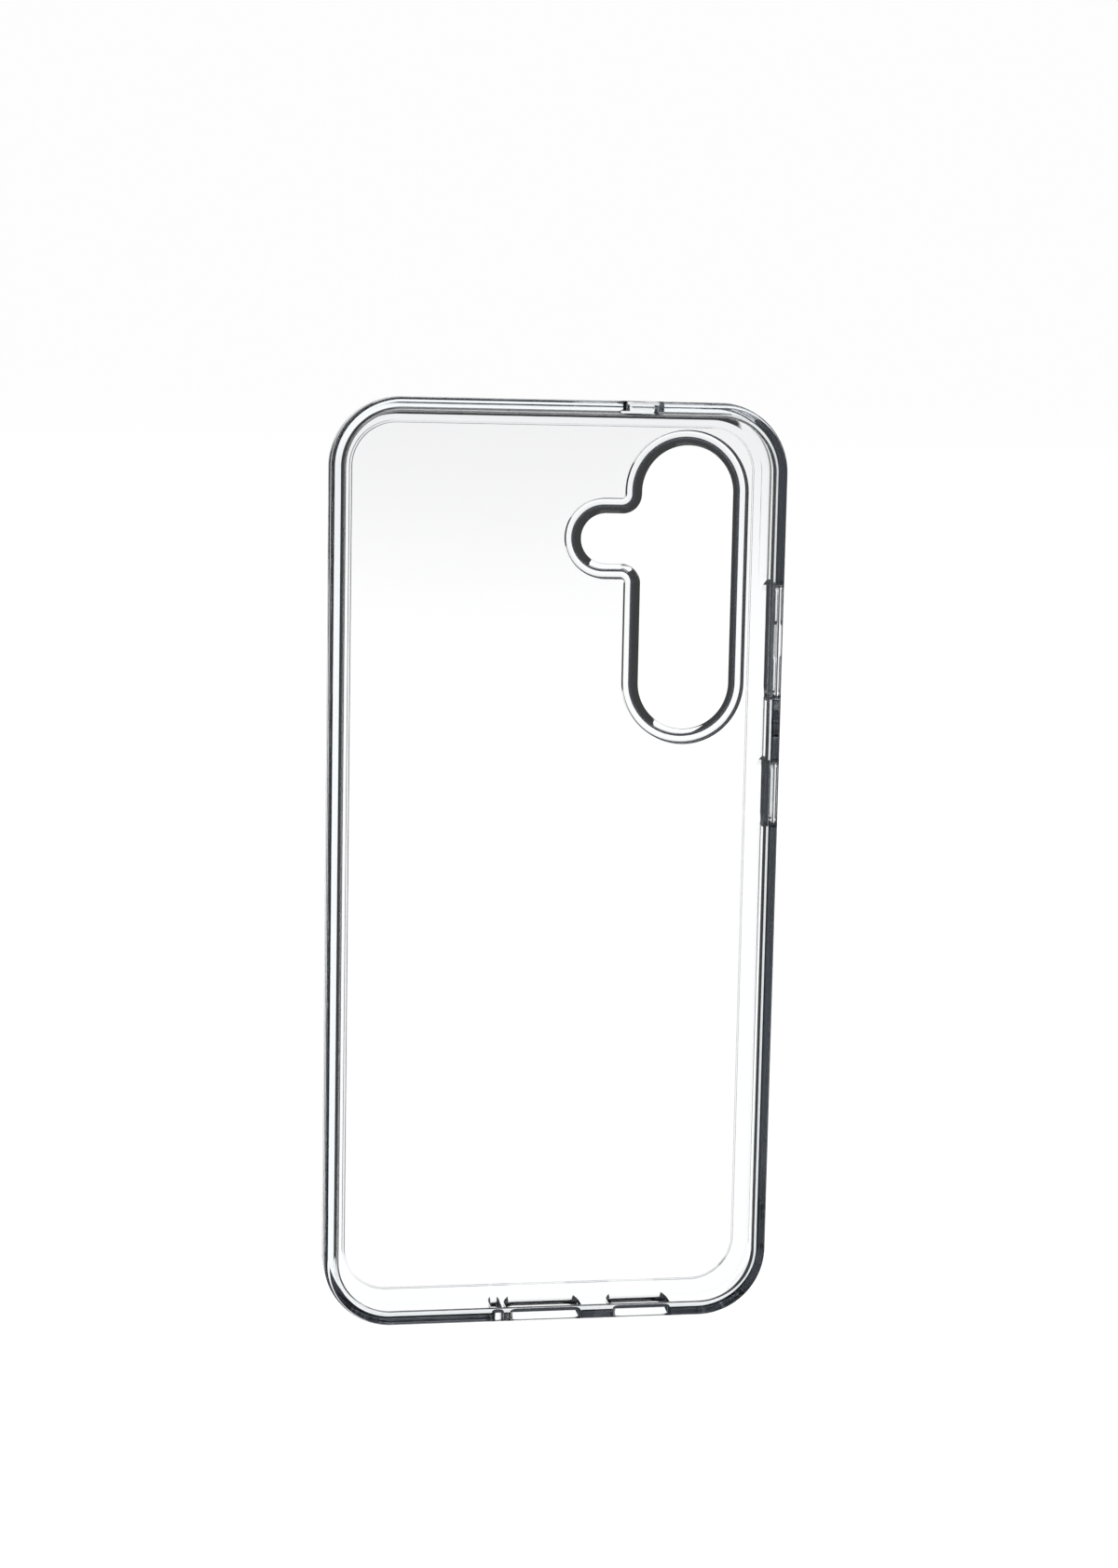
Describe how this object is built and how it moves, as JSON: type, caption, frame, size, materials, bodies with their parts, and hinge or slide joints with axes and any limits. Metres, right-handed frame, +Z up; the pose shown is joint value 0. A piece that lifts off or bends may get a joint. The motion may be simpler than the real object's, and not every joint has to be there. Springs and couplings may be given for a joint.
{
  "type": "phone case",
  "caption": "Clear phone case with a hard back panel, soft bumper frame, raised camera guard and sprung key covers, open to the front.",
  "frame": {"origin": "under the centre of the case, level with the camera guard's rest face, which is the case's lowest face when it lies on its back", "axes": "+X across the case towards the key side, +Y along the case towards the camera end, +Z up out of the open side that the phone goes in by"},
  "size_m": [0.079, 0.1616, 0.0115],
  "materials": {
    "clear_hard_plastic": "polished clear polycarbonate",
    "clear_soft_plastic": "glossy clear thermoplastic polyurethane",
    "key_plastic": "glossy clear thermoplastic polyurethane, thicker and greyer"
  },
  "bodies": {
    "case": {"back_panel": "clear_hard_plastic", "bumper_frame": "clear_soft_plastic", "camera_guard": "clear_soft_plastic", "volume_key_web": "clear_soft_plastic", "power_key_web": "clear_soft_plastic"},
    "volume_up": {"volume_up_key": "key_plastic"},
    "volume_down": {"volume_down_key": "key_plastic"},
    "power": {"power_key": "key_plastic"}
  },
  "joints": [
    {"name": "volume_up_press", "type": "slide", "parent": "case", "child": "volume_up", "axis": [-1, 0, 0], "range_m": [0, 0.00035], "stiffness_N_per_m": 1500},
    {"name": "volume_down_press", "type": "slide", "parent": "case", "child": "volume_down", "axis": [-1, 0, 0], "range_m": [0, 0.00035], "stiffness_N_per_m": 1500},
    {"name": "power_press", "type": "slide", "parent": "case", "child": "power", "axis": [-1, 0, 0], "range_m": [0, 0.00035], "stiffness_N_per_m": 1500}
  ]
}
